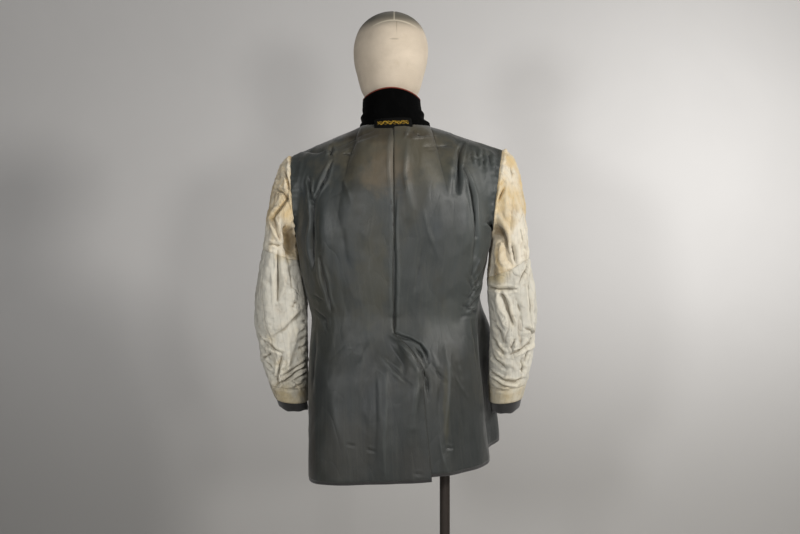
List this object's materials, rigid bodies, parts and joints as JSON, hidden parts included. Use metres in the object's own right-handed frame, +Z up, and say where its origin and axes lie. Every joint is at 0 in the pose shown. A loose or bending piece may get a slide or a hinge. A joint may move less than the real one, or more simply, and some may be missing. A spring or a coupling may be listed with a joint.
{
  "type": "military uniform jacket turned inside out on a limbless dress form and pole stand",
  "caption": "Thigh-length uniform jacket turned inside out on a limbless dress form: satin back lining, cotton sleeve lining, stand-up velvet collar, open front, vented skirt, pole stand.",
  "frame": {"origin": "on the floor, at the centre of the round base", "axes": "+Z up; -Y is the side that the jacket's back faces, +Y its front; +X is to the right as seen from behind"},
  "size_m": [0.6133, 0.38, 1.749],
  "materials": {
    "satin_lining": "grey-green cotton-backed satin, soft sheen",
    "wool": "dark milled wool, matte",
    "cotton": "off-white striped cotton sateen",
    "stained_cotton": "yellowed cotton sateen",
    "velvet": "black cotton velvet, matte",
    "piping": "red wool piping",
    "label": "black woven label with a plain gold ornament",
    "linen": "cream linen stretched over the form",
    "wood": "satin varnish",
    "steel": "dark brown powder coat, satin"
  },
  "bodies": {
    "root": {"back_left": "satin_lining", "back_right": "satin_lining", "front_left": "satin_lining", "front_right": "satin_lining", "hem_back_left": "wool", "hem_back_right": "wool", "hem_front_left": "wool", "hem_front_right": "wool", "sleeve_left_edge": "wool", "sleeve_left_cuff": "stained_cotton", "sleeve_left_under": "cotton", "sleeve_left_upper": "cotton", "sleeve_left_head": "stained_cotton", "sleeve_right_edge": "wool", "sleeve_right_cuff": "stained_cotton", "sleeve_right_under": "cotton", "sleeve_right_upper": "cotton", "sleeve_right_head": "stained_cotton", "collar": "velvet", "collar_piping": "piping", "label": "label", "form_torso": "linen", "form_neck": "linen", "form_head": "linen", "form_underplate": "wood", "pole": "steel", "socket": "steel", "base": "steel"}
  },
  "joints": []
}
